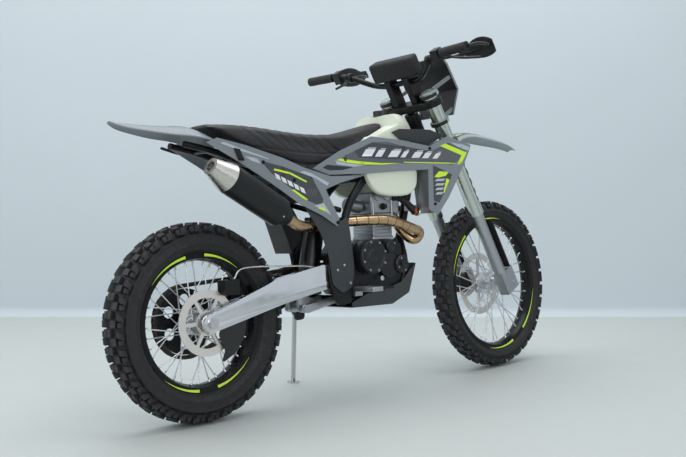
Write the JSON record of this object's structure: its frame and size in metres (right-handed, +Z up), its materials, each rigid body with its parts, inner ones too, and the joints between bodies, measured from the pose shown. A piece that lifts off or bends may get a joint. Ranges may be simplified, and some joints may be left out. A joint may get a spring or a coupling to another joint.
{
  "type": "trail motorcycle",
  "caption": "Trail motorcycle with knobby spoked wheels, long seat, slim tank, steel frame, upside-down fork and alloy swingarm, leaning on its side stand.",
  "frame": {"origin": "centre of the standing motorcycle's bounding box, at the floor it stands on", "axes": "+X forward along the wheel line, +Y to the rider's left, +Z up; the motorcycle leans to its left on its side stand"},
  "size_m": [2.1602, 0.8477, 1.3447],
  "materials": {
    "aluminium": "polished",
    "cast_black": "satin",
    "chain_steel": "dark",
    "dark_plastic": "matte",
    "engine_metal": "cast",
    "fabric_black": "matte",
    "frame_black": "satin",
    "grey_plastic": "satin",
    "lens": "clear",
    "pipe_bronze": "heat tinted",
    "rim_black": "gloss",
    "rubber": "matte",
    "seat_cover": "matte",
    "shock_metal": "gloss",
    "silencer_black": "satin",
    "spoke_steel": "bright",
    "steel": "brushed",
    "tank_plastic": "satin",
    "tyre": "matte"
  },
  "bodies": {
    "chassis": {"airbox": "dark_plastic", "cylinder_head": "engine_metal", "drive_chain": "chain_steel", "drive_sprocket": "chain_steel", "engine_cases": "cast_black", "engine_covers": "cast_black", "exhaust_pipe": "pipe_bronze", "foot_controls": "aluminium", "footpegs": "steel", "frame": "frame_black", "frame_guards": "dark_plastic", "fuel_cap": "dark_plastic", "fuel_tank": "tank_plastic", "grab_strap": "fabric_black", "inner_fender": "dark_plastic", "linkage": "aluminium", "pivot_bolt": "steel", "radiators": "aluminium", "rear_axle": "steel", "rear_caliper": "cast_black", "rear_fender": "grey_plastic", "seat": "seat_cover", "shock": "shock_metal", "shroud_caps": "dark_plastic", "shrouds": "grey_plastic", "side_panels": "grey_plastic", "silencer": "silencer_black", "silencer_cap": "steel", "skid_plate": "dark_plastic", "subframe": "frame_black", "swingarm": "aluminium", "swingarm_guards": "dark_plastic", "throttle_body": "engine_metal"},
    "steering": {"triple_clamps": "cast_black", "fork_upper": "aluminium", "fork_lower": "aluminium", "fork_guards": "dark_plastic", "handlebar": "cast_black", "grips": "rubber", "bar_pad": "fabric_black", "bar_controls": "cast_black", "hand_guards": "dark_plastic", "meter": "dark_plastic", "headlight_mask": "grey_plastic", "headlamp": "lens", "front_fender": "grey_plastic", "front_axle": "steel", "front_caliper": "cast_black"},
    "front_wheel": {"front_tyre": "tyre", "front_rim": "rim_black", "front_hub": "spoke_steel", "front_disc": "steel"},
    "rear_wheel": {"rear_tyre": "tyre", "rear_rim": "rim_black", "rear_hub": "spoke_steel", "rear_disc": "steel", "rear_sprocket": "chain_steel"},
    "side_stand_leg": {"side_stand": "aluminium"}
  },
  "joints": [
    {"name": "steering", "type": "hinge", "parent": "chassis", "child": "steering", "pos_m": [0.38161, -0.02527, 0.91092], "axis": [-0.454, 0.0699, 0.8883], "range_deg": [-48, 38]},
    {"name": "front_wheel_spin", "type": "hinge", "parent": "steering", "child": "front_wheel", "pos_m": [0.73366, -0.06471, 0.34642], "axis": [-0.0777, 0.99, -0.1176], "continuous": true},
    {"name": "rear_wheel_spin", "type": "hinge", "parent": "chassis", "child": "rear_wheel", "pos_m": [-0.74615, -0.0706, 0.33495], "axis": [0, 0.9969, -0.0785], "continuous": true},
    {"name": "side_stand_fold", "type": "hinge", "parent": "chassis", "child": "side_stand_leg", "pos_m": [-0.22615, 0.05575, 0.30895], "axis": [0.176, 0.8756, 0.4498], "range_deg": [0, 105]}
  ]
}
